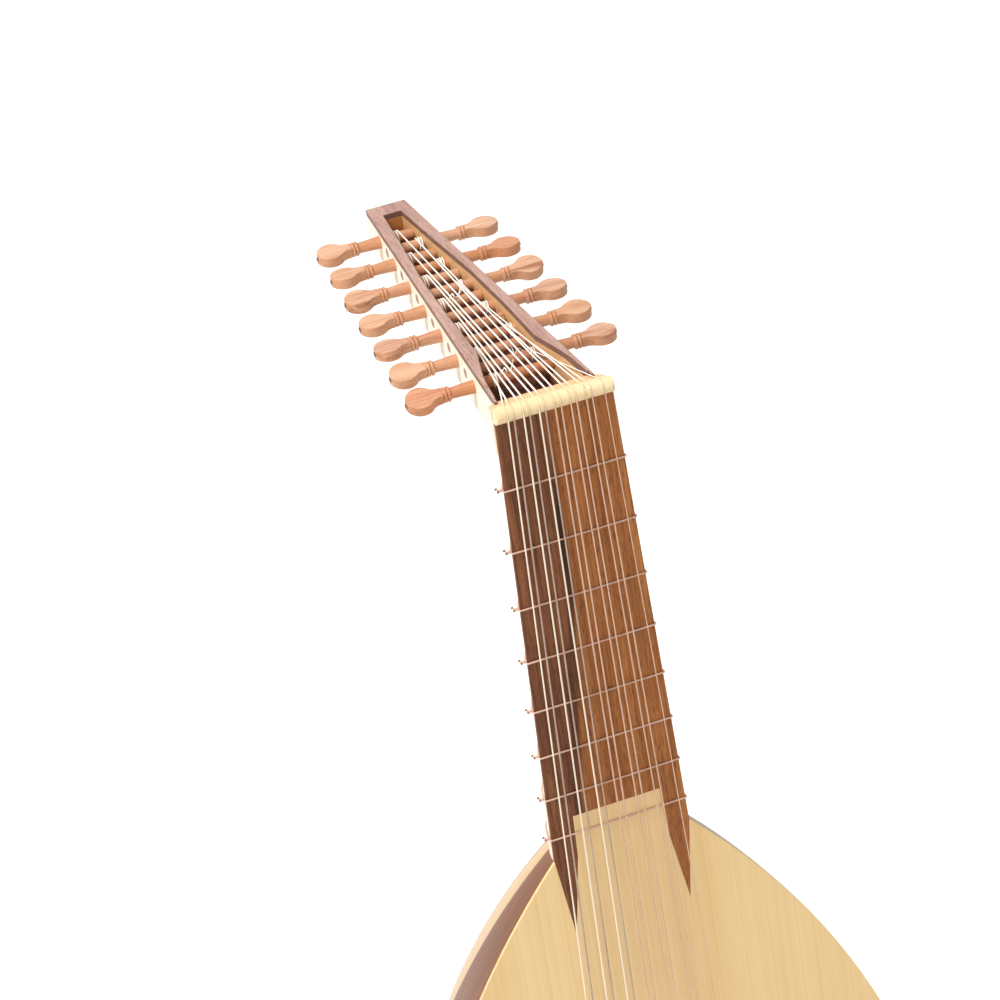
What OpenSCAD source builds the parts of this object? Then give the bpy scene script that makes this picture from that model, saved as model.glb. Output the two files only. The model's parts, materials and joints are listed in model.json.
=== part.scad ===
// Seven-course Renaissance lute, built from its separate pieces.
// Row frame: +Z runs up the neck, the soundboard faces -Y, X runs across the instrument.
// The origin is the outer end of the strap button, on the button's axis.
// Pieces are laid out in the body frame: soundboard face at y = 0, tail of the bowl at z = 0.

/* [Body] */
// Body length, tail to neck joint (mm)
body_len = 445; // [400:1:480]
// Widest width of the body (mm)
body_w = 300; // [260:2:340]
// Thickness of the soundboard and the fingerboard (mm)
board_t = 1.8; // [1.4:0.1:2.4]
// Rib thickness (mm)
rib_t = 1.6; // [1.2:0.1:2.4]
// Height of the rose centre above the tail (mm)
rose_z = 262; // [220:1:300]
// Radius of the pierced rose (mm)
rose_r = 41; // [34:1:48]
// Width of a rose strand (mm)
strand_w = 1.8; // [1.2:0.1:3]
// Length of the neck block inside the bowl (mm)
neck_block_len = 46; // [35:1:60]
// Soundboard bar thickness (mm)
bar_t = 4.5; // [3:0.5:7]
// Soundboard bar height (mm)
bar_h = 15; // [10:1:20]
// End clasp thickness (mm)
clasp_t = 1.2; // [0.8:0.1:2]
// End clasp half length (mm)
clasp_half = 110; // [80:1:130]
// End clasp depth at its middle (mm)
clasp_d = 30; // [20:1:40]

/* [Strap button] */
// Head radius (mm)
button_r = 6.5; // [5:0.1:8]
// Head length (mm)
button_head = 4; // [3:0.5:6]
// Reach of the button below the tail (mm)
button_reach = 14; // [12:1:18]
// Depth of the button axis behind the soundboard face (mm)
button_y = 14; // [12:1:18]

/* [Neck] */
// Neck length, body joint to nut (mm)
neck_len = 235; // [210:1:260]
// Fingerboard width at the nut (mm)
nut_w = 57; // [50:0.5:64]
// Fingerboard width at the body joint (mm)
joint_w = 70.2; // [62:0.1:78]
// Depth of the neck wood at the nut (mm)
neck_d = 22; // [18:0.5:26]
// Reach of the soundboard tongue onto the neck (mm)
tongue_len = 22.4; // [10:0.1:40]
// Width of the soundboard tongue at its tip (mm)
tongue_w = 45; // [36:0.5:54]
// Reach of the fingerboard points onto the soundboard (mm)
point_len = 44; // [30:1:60]

/* [Nut and strings] */
// Vibrating string length (mm)
string_len = 600; // [570:1:640]
// Height of the strings above the fingerboard at the nut (mm)
nut_h = 1.5; // [1:0.1:2.5]
// Radius of the strings' turn over the nut (mm)
nut_r = 3.4; // [3:0.1:5]
// Height of the turn's centre above the end of the fingerboard (mm)
nut_rise = 2.6; // [2:0.1:4]
// Depth of a string's axis below the nut's crest (mm)
nut_sink = 0.3; // [0:0.05:0.4]
// Thickness of the nut (mm)
nut_t = 7.8; // [6:0.1:9]
// Overhang of the nut past the treble edge of the fingerboard (mm)
nut_over = 0.9; // [0:0.1:1.5]
// Course spacing at the nut (mm)
nut_pitch = 7.55; // [6.5:0.05:8.5]
// Course spacing at the bridge (mm)
bridge_pitch = 13.25; // [11:0.05:15]
// Distance between the two strings of a course at the nut (mm)
pair_nut = 2.9; // [2:0.1:4]
// Distance between the two strings of a course at the bridge (mm)
pair_bridge = 3.8; // [3:0.1:5]
// Height of the strings above the soundboard at the bridge (mm)
bridge_string_h = 5.8; // [4:0.1:8]
// Radial room between a string and its nut slot (mm)
slot_gap = 0.04; // [0.02:0.01:0.1]
// String radii, bass to treble (mm)
string_r = [0.45, 0.5, 0.5, 0.5, 0.5, 0.5, 0.47, 0.47, 0.45, 0.45, 0.4, 0.4, 0.3];

/* [Bridge] */
// Bridge bar height (mm)
bridge_h = 7.6; // [6:0.1:9]
// Bridge bar width (mm)
bridge_d = 10; // [8:0.5:14]
// Half length of the bridge bar (mm)
bridge_half = 48; // [44:1:56]
// Radius of the string holes (mm)
bridge_hole_r = 0.75; // [0.6:0.05:1]
// Height of the string holes above the soundboard (mm)
bridge_hole_h = 3.4; // [2.5:0.1:5]

/* [Frets] */
// Radial room between a fret and the neck (mm)
fret_gap = 0.1; // [0.05:0.01:0.2]
// Gut thickness of a fret (mm)
fret_t = 0.9; // [0.6:0.05:1.2]

/* [Pegbox] */
// Angle between the neck and the pegbox (degrees)
bend = 87.6; // [75:0.1:95]
// Pegbox length (mm)
box_len = 232; // [200:1:260]
// Pegbox width at the nut end (mm)
box_w0 = 48.3; // [42:0.1:54]
// Pegbox width at the far end (mm)
box_w1 = 20.9; // [16:0.1:26]
// Pegbox depth at the nut end (mm)
box_d0 = 23.3; // [18:0.1:28]
// Pegbox depth at the far end (mm)
box_d1 = 19; // [14:0.1:24]
// Thickness of the walnut capping (mm)
cap_t = 3; // [2:0.1:4]
// Thickness of the pegbox back (mm)
back_t = 3; // [2:0.1:5]
// Height of the pegbox face above the nut end of the fingerboard (mm)
face_z = 5.55; // [4:0.05:8]
// Distance of the pegbox face's start behind the fingerboard face (mm)
face_y = 11.1; // [9:0.1:14]
// Thickness of the collar block behind the nut (mm)
collar_t = 9.2; // [7:0.1:11]
// Distance from the nut to the back of the collar's shoulders (mm)
shoulder_t = 7.4; // [6:0.1:9]
// Gap between the nut and the ends of the capping's arms (mm)
cap_gap = 5; // [3:0.1:7]

/* [Pegs] */
// Distance of the first peg from the pegbox face's start (mm)
peg_first = 38.2; // [30:0.1:45]
// Distance from one peg to the next (mm)
peg_pitch = 14.09; // [12:0.01:16]
// Depth of the first peg below the pegbox face (mm)
peg_depth = 10.1; // [8:0.1:13]
// Shaft radius at the head side (mm)
shaft_r = 3.2; // [2.8:0.1:4]
// Shaft radius inside the pegbox (mm)
mid_r = 2.9; // [2.4:0.1:3.5]
// Shaft radius at the tip (mm)
tip_r = 2.6; // [2.2:0.1:3.2]
// Radial running fit of each peg bearing (mm)
peg_fit = 0.05; // [0.01:0.01:0.1]
// Length of the string winding on a peg (mm)
wind_len = 4; // [3:0.5:8]

/* [Hidden] */
$fn = 96;
belly_r = body_w / 2;
joint_z = body_len;
nut_z = body_len + neck_len;
bridge_z = nut_z - string_len;
joint_hw = joint_w / 2;
nut_hw = nut_w / 2;
flank_in = belly_r - joint_hw;
flank_h = body_len - belly_r;
flank_r = (flank_h * flank_h + flank_in * flank_in) / (2 * flank_in);
string_splay = 0.03;
tongue_hw = tongue_w / 2;
root_hw = tongue_hw + tongue_len * string_splay;
crest_r = nut_r + nut_sink;
nut_cy = nut_r - nut_h;
nut_cz = nut_z + nut_rise;
nut_back = nut_t - nut_h - nut_sink;
collar_back = nut_back + collar_t;
box_start = collar_back - face_y;
cap_start = nut_back + cap_gap - face_y;
box_tilt = 90 - bend;
hole_r = shaft_r + peg_fit;
tip_hole_r = tip_r + peg_fit;
wind_in = mid_r + peg_fit;
tie_gap = 0.08;
ramp_top = 0.5;
ramp_drop = 2.2;
head_r = 7;
head_t = 5.3;
head_neck = 3;
head_fillet = 6;
pole_r = 17;
button_stem_r = 3.95;
button_bore_r = 4;
glue_angle = 0.01;
glue_gap = 0.02;

// Inside half width of the pegbox at points along its length: [distance, half width].
slot_line = [[1, 14.4], [60, 14.4], [95, 13.8], [136, 12], [187, 7.4], [220.5, 4.85]];
// Half width of the flared mouth next to the nut, at the face.
mouth_line = [[1, 22.9], [20, 21.2], [30, 19.3], [43, 16.3], [52, 14.4]];
mouth_depth = 17;

// One entry per peg, nut end first: turn of the head (degrees).
peg_turn = [17, 0, 13, 4, 0, 0, 3, 13, 8, -2, 0, 0, 8];
// Middle of the string winding on each peg, measured across the pegbox (mm).
wind_x = [-11.8, 11.9, -11.3, 11.4, -9.8, 9.3, -7.8, 6.1, -6.6, 6.2, -5.5, 4.4, -3.2];
// The peg each string goes to, bass to treble.
string_peg = [0, 2, 4, 6, 8, 10, 12, 11, 9, 7, 5, 3, 1];

function mix(a, b, t) = a + (b - a) * t;
function neck_part(z) = (nut_z - z) / neck_len;
function neck_hw(z) = mix(nut_hw, joint_hw, neck_part(z));
function neck_depth(z) = mix(neck_d, joint_hw, neck_part(z));
function fret_z(n) = nut_z - string_len * (1 - pow(2, -n / 12));
function box_hw(s) = mix(box_w0, box_w1, s / box_len) / 2;
function box_bottom(s) = -mix(box_d0, box_d1, s / box_len);
function slot_hw(s) = lookup(s, slot_line);
function peg_s(i) = peg_first + peg_pitch * i;
function peg_n(i) = -(peg_depth - 0.014 * peg_pitch * i);
function peg_side(i) = i % 2 == 0 ? -1 : 1;
function peg_y(i) = face_y + peg_s(i) * cos(box_tilt) - peg_n(i) * sin(box_tilt);
function peg_z(i) = nut_z + face_z + peg_s(i) * sin(box_tilt) + peg_n(i) * cos(box_tilt);
function course(k) = k < 12 ? floor(k / 2) : 6;
function pair_side(k) = k == 12 ? 0 : (k % 2 == 0 ? -0.5 : 0.5);
function string_x(k, pitch, pair) = (course(k) - 3) * pitch + pair_side(k) * pair + 1.35;

// Moves a piece from the body frame to the row frame.
module at_body() {
    translate([0, -button_y, button_reach])
        children();
}

// Moves a piece from the pegbox frame (x, distance from nut, height over the face) to the row frame.
module at_box() {
    at_body()
        translate([0, face_y, nut_z + face_z])
            rotate([box_tilt, 0, 0])
                children();
}

// A flat board in the soundboard plane, cut to a drawn outline.
module board(t) {
    translate([0, t, 0])
        rotate([90, 0, 0])
            linear_extrude(t)
                children();
}

// A round bar from one point to another.
module rod(a, b, r) {
    v = b - a;
    translate(a)
        rotate([0, acos(v.z / norm(v)), atan2(v.y, v.x)])
            cylinder(h = norm(v), r = r);
}

// A shape drawn in (distance, height) and carried across the pegbox width.
module across_box() {
    rotate([90, 0, 90])
        translate([0, 0, -40])
            linear_extrude(80)
                children();
}

// Outline of the body, grown by g.
module body_shape(g) {
    intersection() {
        translate([0, belly_r])
            circle(belly_r + g);
        translate([-belly_r - 10, -10])
            square([2 * belly_r + 20, belly_r + 10]);
    }
    intersection() {
        translate([belly_r - flank_r, belly_r])
            circle(flank_r + g);
        translate([flank_r - belly_r, belly_r])
            circle(flank_r + g);
        translate([-belly_r - 10, belly_r])
            square([2 * belly_r + 20, flank_h]);
    }
}

// Sector of the bowl's skin between two offsets, from one angle over a span.
module bowl_skin(outer, inner, from, span) {
    translate([0, board_t, 0])
        rotate([0, 0, from])
            rotate_extrude(angle = span)
                intersection() {
                    difference() {
                        body_shape(outer);
                        body_shape(inner);
                    }
                    translate([0, -10])
                        square([belly_r + 10, body_len + 10]);
                }
}

// The bowl's hollow as a solid behind the soundboard, shrunk by the glue gap.
module bowl_inside() {
    translate([0, board_t, 0])
        rotate_extrude(angle = 180)
            intersection() {
                body_shape(-rib_t - glue_gap);
                square([belly_r + 10, body_len]);
            }
}

// The bore the strap button is pushed into.
module button_bore() {
    translate([0, button_y, -20])
        cylinder(h = 60, r = button_bore_r);
}

module rib(k) {
    at_body()
        difference() {
            bowl_skin(0, -rib_t, 20 * (k - 1) + glue_angle / 2, 20 - glue_angle);
            translate([0, board_t, -5])
                cylinder(h = 20, r = pole_r);
        }
}

module end_clasp() {
    arc_r = (clasp_half * clasp_half + clasp_d * clasp_d) / (2 * clasp_d);
    color([0.35, 0.2, 0.12])
        at_body()
            difference() {
                intersection() {
                    bowl_skin(clasp_t, 0, 0, 180);
                    translate([0, clasp_d + board_t - arc_r, -5])
                        cylinder(h = belly_r - 20, r = arc_r);
                }
                button_bore();
            }
}

module tail_block() {
    color([0.8, 0.66, 0.45])
        at_body()
            difference() {
                intersection() {
                    bowl_inside();
                    translate([-70, board_t, 0])
                        cube([140, 22, 18]);
                }
                button_bore();
            }
}

module strap_button() {
    color([0.3, 0.17, 0.1])
        at_body()
            translate([0, button_y, -button_reach]) {
                cylinder(h = button_head, r = button_r);
                cylinder(h = button_reach - 3.5, r = 4.4);
                translate([0, 0, button_reach - 4.6])
                    cylinder(h = 18.6, r = button_stem_r);
                difference() {
                    translate([0, 0, button_reach - 4.6])
                        cylinder(h = 6, r = 8);
                    translate([0, board_t - button_y, button_reach + belly_r])
                        sphere(belly_r + clasp_t);
                }
            }
}

// Pierced pattern of the rose: interlaced rings, a star and a border.
module rose_strands() {
    half = strand_w / 2;
    ring = rose_r / 2;
    intersection() {
        circle(rose_r + 0.5);
        union() {
            for (a = [0:60:300])
                rotate(a)
                    translate([ring, 0])
                        difference() {
                            circle(ring + half);
                            circle(ring - half);
                        }
            for (a = [0:30:150])
                rotate(a)
                    square([2 * rose_r + 2, strand_w], center = true);
            difference() {
                circle(ring + half);
                circle(ring - half);
            }
        }
    }
    circle(rose_r * 0.13);
}

module soundboard() {
    color([0.93, 0.8, 0.56])
        at_body()
            board(board_t) {
                difference() {
                    union() {
                        body_shape(0);
                        polygon([[-root_hw, joint_z - 1], [root_hw, joint_z - 1],
                            [root_hw, joint_z], [tongue_hw, joint_z + tongue_len],
                            [-tongue_hw, joint_z + tongue_len], [-root_hw, joint_z]]);
                    }
                    for (m = [-1, 1])
                        polygon([[m * root_hw, joint_z], [m * joint_hw, joint_z],
                            [m * (joint_hw - 5), joint_z - point_len]]);
                    translate([0, rose_z])
                        circle(rose_r);
                }
                translate([0, rose_z])
                    rose_strands();
            }
}

// A spruce bar glued across the inside of the soundboard.
module bar(z) {
    color([0.86, 0.74, 0.52])
        at_body()
            intersection() {
                bowl_inside();
                translate([-belly_r, board_t, z - bar_t / 2])
                    cube([2 * belly_r, bar_h, bar_t]);
            }
}

module bar_upper() {
    bar(rose_z + rose_r + 12);
}

module bar_lower() {
    bar(rose_z - rose_r - 12);
}

module bridge() {
    color([0.42, 0.26, 0.15])
        at_body()
            difference() {
                union() {
                    translate([-bridge_half, -bridge_h, bridge_z - bridge_d])
                        cube([2 * bridge_half, bridge_h, bridge_d]);
                    translate([0, -3, 0])
                        board(3)
                            for (m = [-1, 1])
                                polygon([[m * (bridge_half - 1), bridge_z],
                                    [m * (bridge_half + 5), bridge_z - 1.5],
                                    [m * (bridge_half + 15), bridge_z - 6],
                                    [m * (bridge_half + 6), bridge_z - bridge_d],
                                    [m * (bridge_half - 1), bridge_z - bridge_d]]);
                }
                for (k = [0:12])
                    translate([string_x(k, bridge_pitch, pair_bridge), -bridge_hole_h, bridge_z - 20])
                        cylinder(h = 30, r = bridge_hole_r);
            }
}

module neck_block() {
    color([0.82, 0.68, 0.47])
        at_body()
            intersection() {
                bowl_inside();
                translate([-belly_r, 0, joint_z - neck_block_len])
                    cube([2 * belly_r, belly_r, neck_block_len]);
            }
}

// Half-oval section of the neck behind the fingerboard, grown by g.
module neck_oval(z, g) {
    intersection() {
        translate([0, board_t])
            scale([neck_hw(z) + g, neck_depth(z) + g])
                circle(1);
        translate([-60, board_t])
            square([120, 60]);
    }
}

// Room below the pegbox: everything above its underside and behind the nut.
module box_rebate() {
    translate([0, face_y, nut_z + face_z])
        rotate([box_tilt, 0, 0])
            across_box()
                polygon([[nut_back - face_y, 20], [nut_back - face_y, box_bottom(nut_back - face_y)],
                    [60, box_bottom(60)], [60, 20]]);
}

module neck() {
    color([0.9, 0.78, 0.6])
        at_body()
            difference() {
                hull() {
                    translate([0, 0, joint_z])
                        linear_extrude(0.01)
                            neck_oval(joint_z, 0);
                    translate([0, 0, nut_z - 0.01])
                        linear_extrude(0.01)
                            neck_oval(nut_z, 0);
                }
                box_rebate();
            }
}

// Outline of one fingerboard point, on side m.
function point_line(m) = [[m * joint_hw, joint_z], [m * (joint_hw - 5), joint_z - point_len],
    [m * root_hw, joint_z], [m * tongue_hw, joint_z + tongue_len]];

module fingerboard() {
    left = point_line(-1);
    color([0.5, 0.3, 0.18])
        at_body()
            board(board_t)
                polygon(concat([[-nut_hw, nut_z], [nut_hw, nut_z]], point_line(1),
                    [for (j = [3:-1:0]) left[j]]));
}

// A fret of tied gut: one turn round the fingerboard and the neck.
module fret(n) {
    z = fret_z(n) - fret_t / 2;
    color([0.87, 0.72, 0.6])
        at_body()
            translate([0, 0, z])
                linear_extrude(fret_t)
                    difference() {
                        fret_outline(fret_z(n), fret_gap + fret_t);
                        fret_outline(fret_z(n), fret_gap);
                    }
}

module fret_outline(z, g) {
    hw = neck_hw(z) + g;
    neck_oval(z, g);
    translate([-hw, -g])
        square([2 * hw, board_t + g]);
}

// The turn a string makes over the crest of the nut.
module nut_turn(k, r) {
    p = string_points(k);
    translate([p[0].x, nut_cy, nut_cz])
        rotate([90, 0, -90])
            rotate_extrude(angle = leave_angle(k))
                translate([nut_r, 0])
                    circle(r);
    for (q = [p[0], p[2]])
        translate(q)
            sphere(r + 0.01);
}

// The slot a string lies in at the nut: the turn and a short run to each side.
module nut_slot(k, r) {
    p = string_points(k);
    nut_turn(k, r);
    for (j = [0, 2])
        rod(p[j], p[j] + (p[j + 1] - p[j]) * 7 / norm(p[j + 1] - p[j]), r);
}

function arrive_x(i) = wind_x[i] - peg_side(i) * (wind_len / 2 - 0.7);
function wind_r(k) = wind_in + string_r[k] + 0.03;
function peg_dy(k) = peg_y(string_peg[k]) - nut_cy;
function peg_dz(k) = peg_z(string_peg[k]) - nut_cz;
function drop_angle(k) = atan2(peg_dz(k), peg_dy(k));
function leave_angle(k) = 90 - drop_angle(k) + asin((nut_r - wind_r(k)) / norm([peg_dy(k), peg_dz(k)]));
function on_circle(x, cy, cz, r, a) = [x, cy - r * cos(a), cz + r * sin(a)];
// Nut front, bridge end, nut crest and peg contact of a string.
function string_points(k) = [
    [string_x(k, nut_pitch, pair_nut), -nut_h, nut_cz],
    [string_x(k, bridge_pitch, pair_bridge), -bridge_string_h, bridge_z + string_r[k] + tie_gap],
    on_circle(string_x(k, nut_pitch, pair_nut), nut_cy, nut_cz, nut_r, leave_angle(k)),
    on_circle(arrive_x(string_peg[k]), peg_y(string_peg[k]), peg_z(string_peg[k]), wind_r(k), leave_angle(k))
];

module nut() {
    color([0.95, 0.9, 0.72])
        at_body()
            difference() {
                intersection() {
                    translate([0, 0, nut_z])
                        across_box()
                            nut_profile();
                    translate([0, 0, nut_z - 1])
                        linear_extrude(12)
                            nut_plan();
                }
                for (k = [0:12])
                    nut_slot(k, string_r[k] + slot_gap);
            }
}

module nut_profile() {
    front = nut_cy - crest_r;
    difference() {
        polygon([[front, 0], [front, nut_rise + crest_r], [nut_cy, nut_rise + crest_r],
            [nut_back, nut_rise + crest_r - 0.75], [nut_back, 0]]);
        difference() {
            translate([front - 1, -1])
                square([crest_r + 1, nut_rise + crest_r + 2]);
            translate([nut_cy, nut_rise])
                circle(crest_r);
        }
    }
}

// Plan of the nut: small rounds in front, large ones at the back.
module nut_plan() {
    front = nut_cy - crest_r;
    difference() {
        translate([-nut_hw, front])
            square([nut_w + nut_over, nut_t]);
        for (c = [[-nut_hw, 1, front, 1, 1.6], [nut_hw + nut_over, -1, front, 1, 1.6],
            [-nut_hw, 1, nut_back, -1, 4], [nut_hw + nut_over, -1, nut_back, -1, 4]])
            difference() {
                translate([c[0] - (c[1] > 0 ? 1 : c[4]), c[2] - (c[3] > 0 ? 1 : c[4])])
                    square(c[4] + 1);
                translate([c[0] + c[1] * c[4], c[2] + c[3] * c[4]])
                    circle(c[4]);
            }
    }
}

// One string: tie at the bridge, the sounding length, the turn at the nut and the turns on its peg.
module lute_string(k) {
    p = string_points(k);
    r = string_r[k];
    at_body() {
        nut_turn(k, r);
        rod(p[0], p[1], r);
        rod(p[2], p[3], r);
        bridge_tie(p[1].x, r);
        translate([wind_x[string_peg[k]] - wind_len / 2, peg_y(string_peg[k]), peg_z(string_peg[k])])
            rotate([0, 90, 0])
                difference() {
                    cylinder(h = wind_len, r = wind_in + 2 * r + 0.06);
                    translate([0, 0, -1])
                        cylinder(h = wind_len + 2, r = wind_in);
                }
    }
}

// The loop a string makes through its hole and over the top of the bridge.
module bridge_tie(x, r) {
    room = r + tie_gap;
    low_front = [x, -bridge_hole_h, bridge_z + room];
    low_back = [x, -bridge_hole_h, bridge_z - bridge_d - room];
    top_back = [x, -bridge_h - room, bridge_z - bridge_d - room];
    top_front = [x, -bridge_h - room, bridge_z + room];
    rod(low_front, low_back, 0.9 * r);
    rod(low_back, top_back, 0.9 * r);
    rod(top_back, top_front, 0.9 * r);
    rod(top_front, low_front, 0.9 * r);
    for (q = [low_front, low_back, top_back, top_front])
        translate(q)
            sphere(0.9 * r + 0.02);
}

// Plan of the pegbox outside, from the collar to the far end.
module box_plan() {
    polygon([[-box_hw(box_start), box_start], [box_hw(box_start), box_start],
        [box_hw(box_len), box_len], [-box_hw(box_len), box_len]]);
}

// The hollow of the pegbox: a tapered slot and a flared mouth next to the nut.
module box_hollow() {
    translate([0, 0, -40])
        linear_extrude(60)
            polygon(concat([for (p = slot_line) [-p[1], p[0]]],
                [for (j = [len(slot_line) - 1:-1:0]) [slot_line[j][1], slot_line[j][0]]]));
    hull() {
        translate([0, 0, 1])
            linear_extrude(0.1)
                polygon(concat([for (p = mouth_line) [-p[1], p[0]]],
                    [for (j = [len(mouth_line) - 1:-1:0]) [mouth_line[j][1], mouth_line[j][0]]]));
        translate([0, 0, -mouth_depth])
            linear_extrude(0.1)
                polygon([[-14.4, 1], [14.4, 1], [14.4, 52], [-14.4, 52]]);
    }
}

// A slice of the pegbox between two heights that follow its face and its underside.
module box_slice(top0, top1, low0, low1) {
    intersection() {
        translate([0, 0, -40])
            linear_extrude(60)
                box_plan();
        across_box()
            polygon([[0, top0], [box_len + 1, top1], [box_len + 1, low1], [0, low0]]);
    }
}

module box_wall(m) {
    color([0.95, 0.87, 0.74])
        at_box()
            difference() {
                box_slice(-cap_t, -cap_t, box_bottom(0) + back_t, box_bottom(box_len + 1) + back_t);
                box_hollow();
                translate([m > 0 ? -80 : -slot_hw(225), -5, -40])
                    cube([80 + slot_hw(225), 250, 60]);
                for (i = [0:12])
                    translate([0, peg_s(i), peg_n(i)])
                        rotate([0, m * 90, 0])
                            cylinder(h = 40, r = peg_side(i) == m ? hole_r : tip_hole_r);
            }
}

module pegbox_side_left() {
    box_wall(-1);
}

module pegbox_side_right() {
    box_wall(1);
}

module pegbox_back() {
    color([0.93, 0.84, 0.7])
        at_box()
            box_slice(box_bottom(0) + back_t, box_bottom(box_len + 1) + back_t,
                box_bottom(0), box_bottom(box_len + 1));
}

module pegbox_end() {
    color([0.9, 0.8, 0.66])
        at_box()
            intersection() {
                box_slice(-cap_t, -cap_t, box_bottom(0) + back_t, box_bottom(box_len + 1) + back_t);
                translate([-slot_hw(225), 220.5, -40])
                    cube([2 * slot_hw(225), 20, 60]);
            }
}

// Plan of the collar behind the nut: rounded shoulders that step in to the pegbox width.
module collar_plan() {
    round_r = 4.8;
    hw = nut_hw - 0.3;
    waist_hw = box_hw(0) - 0.1;
    translate([-waist_hw, nut_back - face_y])
        square([2 * waist_hw, collar_t]);
    difference() {
        translate([-hw, nut_back - face_y])
            square([2 * hw, shoulder_t]);
        for (m = [-1, 1])
            difference() {
                translate([m * hw - round_r, nut_back - face_y + shoulder_t - round_r])
                    square([2 * round_r, round_r + 1]);
                translate([m * (hw - round_r), nut_back - face_y + shoulder_t - round_r])
                    circle(round_r);
            }
    }
}

// Opening of the capping over the collar.
module mouth_plan() {
    hw = mouth_line[0][1];
    translate([-hw, nut_back - face_y])
        square([2 * hw, collar_t - 0.2]);
}

// Footprint of the capping, from the ends of its arms.
module cap_plan() {
    difference() {
        polygon([[-box_hw(cap_start), cap_start], [box_hw(cap_start), cap_start],
            [box_hw(box_len), box_len], [-box_hw(box_len), box_len]]);
        mouth_plan();
    }
}

module pegbox_cap() {
    color([0.5, 0.38, 0.33])
        at_box()
            difference() {
                translate([0, 0, -cap_t])
                    linear_extrude(cap_t)
                        cap_plan();
                box_hollow();
            }
}

// Collar block behind the nut: joins the neck to the pegbox, with a ramp under the strings.
module pegbox_block() {
    front = nut_back - face_y;
    back = front + collar_t;
    color([0.94, 0.85, 0.7])
        at_box() {
            intersection() {
                translate([0, 0, -40])
                    linear_extrude(40 - cap_t)
                        collar_plan();
                across_box()
                    polygon([[front - 2, 0], [back + 2, 0], [back + 2, box_bottom(back + 2)],
                        [front - 2, box_bottom(front - 2)]]);
            }
            intersection() {
                translate([0, 0, -cap_t - 1])
                    linear_extrude(cap_t + 1)
                        difference() {
                            collar_plan();
                            cap_plan();
                        }
                across_box()
                    polygon([[front - 1, -cap_t - 1], [front - 1, -ramp_top], [front, -ramp_top],
                        [back, -ramp_drop], [back, -cap_t - 1]]);
            }
        }
}

// A tuning peg: stepped bearings, two turned beads, a waist and a flat round head.
module peg(i) {
    s = peg_s(i);
    hw = box_hw(s);
    inner = slot_hw(s) - 0.4;
    color([0.75, 0.55, 0.33])
        at_box()
            translate([0, s, peg_n(i)])
                rotate([peg_turn[i], 0, 0])
                    rotate([0, 0, peg_side(i) > 0 ? 0 : 180])
                        difference() {
                            union() {
                                rotate([0, 90, 0])
                                    rotate_extrude()
                                        peg_profile(hw, inner);
                                peg_head(hw);
                                translate([hw + 30, 0, 0])
                                    rotate([0, 90, 0])
                                        cylinder(h = 3.8, r = 1.4);
                            }
                            translate([peg_side(i) * wind_x[i] - wind_len / 2 - 1.6, 0, -5])
                                cylinder(h = 10, r = 0.7);
                        }
}

// Half section of the turned part of a peg: [radius, distance].
module peg_profile(hw, inner) {
    bead = 1;
    translate([0, -hw])
        square([tip_r, hw]);
    translate([0, -inner])
        square([mid_r, 2 * inner + 1]);
    translate([0, inner])
        square([shaft_r, hw - inner + 1]);
    polygon([[0, hw + 0.9], [shaft_r, hw + 0.9], [2.7, hw + 12], [2.5, hw + 17], [0, hw + 17]]);
    for (x = [12.8, 14.7])
        translate([2.8, hw + x])
            circle(bead);
}

// Flat spade-shaped head: a disc that runs into a waist behind the beads.
module peg_head(hw) {
    disc_x = hw + 26.4;
    reach = head_r + head_fillet - 0.05;
    fillet_y = head_neck + head_fillet;
    fillet_x = disc_x - sqrt(reach * reach - fillet_y * fillet_y);
    translate([0, 0, -head_t / 2])
        linear_extrude(head_t) {
            translate([disc_x, 0])
                circle(head_r);
            difference() {
                translate([hw + 15.4, -head_neck - 2])
                    square([disc_x - hw - 15.8, 2 * head_neck + 4]);
                for (m = [-1, 1])
                    translate([fillet_x, m * fillet_y])
                        circle(head_fillet);
            }
        }
}

module rib_1() {
    color([0.55, 0.38, 0.24])
        rib(1);
}

module rib_2() {
    color([0.88, 0.76, 0.58])
        rib(2);
}

module rib_3() {
    color([0.55, 0.38, 0.24])
        rib(3);
}

module rib_4() {
    color([0.88, 0.76, 0.58])
        rib(4);
}

module rib_5() {
    color([0.55, 0.38, 0.24])
        rib(5);
}

module rib_6() {
    color([0.88, 0.76, 0.58])
        rib(6);
}

module rib_7() {
    color([0.55, 0.38, 0.24])
        rib(7);
}

module rib_8() {
    color([0.88, 0.76, 0.58])
        rib(8);
}

module rib_9() {
    color([0.55, 0.38, 0.24])
        rib(9);
}

module fret_1() {
    fret(1);
}

module fret_2() {
    fret(2);
}

module fret_3() {
    fret(3);
}

module fret_4() {
    fret(4);
}

module fret_5() {
    fret(5);
}

module fret_6() {
    fret(6);
}

module fret_7() {
    fret(7);
}

module fret_8() {
    fret(8);
}

module peg_l7() {
    peg(0);
}

module peg_r6() {
    peg(1);
}

module peg_l6() {
    peg(2);
}

module peg_r5() {
    peg(3);
}

module peg_l5() {
    peg(4);
}

module peg_r4() {
    peg(5);
}

module peg_l4() {
    peg(6);
}

module peg_r3() {
    peg(7);
}

module peg_l3() {
    peg(8);
}

module peg_r2() {
    peg(9);
}

module peg_l2() {
    peg(10);
}

module peg_r1() {
    peg(11);
}

module peg_l1() {
    peg(12);
}

module string_01() {
    color([0.97, 0.96, 0.93])
        lute_string(0);
}

module string_02() {
    color([0.75, 0.74, 0.72])
        lute_string(1);
}

module string_03() {
    color([0.97, 0.96, 0.93])
        lute_string(2);
}

module string_04() {
    color([0.75, 0.74, 0.72])
        lute_string(3);
}

module string_05() {
    color([0.97, 0.96, 0.93])
        lute_string(4);
}

module string_06() {
    color([0.75, 0.74, 0.72])
        lute_string(5);
}

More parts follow.
